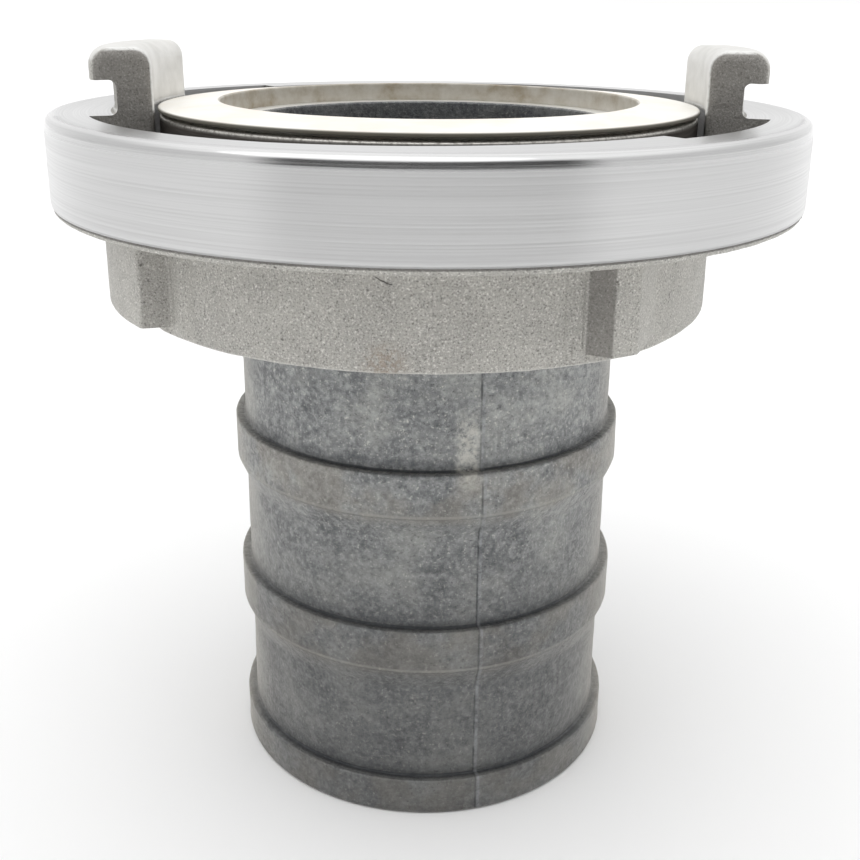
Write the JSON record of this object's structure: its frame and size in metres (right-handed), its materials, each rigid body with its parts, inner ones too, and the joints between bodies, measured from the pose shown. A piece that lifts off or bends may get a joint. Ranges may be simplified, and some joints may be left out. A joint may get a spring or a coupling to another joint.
{
  "type": "hose coupling",
  "caption": "Symmetrical claw coupling: cast and turned lug head that swivels on a ridged hose tail, with a pale face seal.",
  "frame": {"origin": "on the axis at the hose end of the tail, which is also the centre of the bounding box's bottom face", "axes": "+Z along the axis from the hose end to the sealing face; +X through the middle of one lug"},
  "size_m": [0.181, 0.181, 0.1837],
  "materials": {
    "head_casting": "turned and fine sand-cast, bare",
    "tail_casting": "dull grey as-cast",
    "seal_rubber": "cream, smooth moulded",
    "ring_steel": "dark spring steel"
  },
  "bodies": {
    "tail": {"hose_tail": "tail_casting", "face_seal": "seal_rubber", "retaining_ring": "ring_steel"},
    "head": {"coupling_head": "head_casting"}
  },
  "joints": [
    {"name": "head_swivel", "type": "hinge", "parent": "tail", "child": "head", "pos_m": [0, 0, 0.147], "axis": [0, 0, 1], "continuous": true}
  ]
}
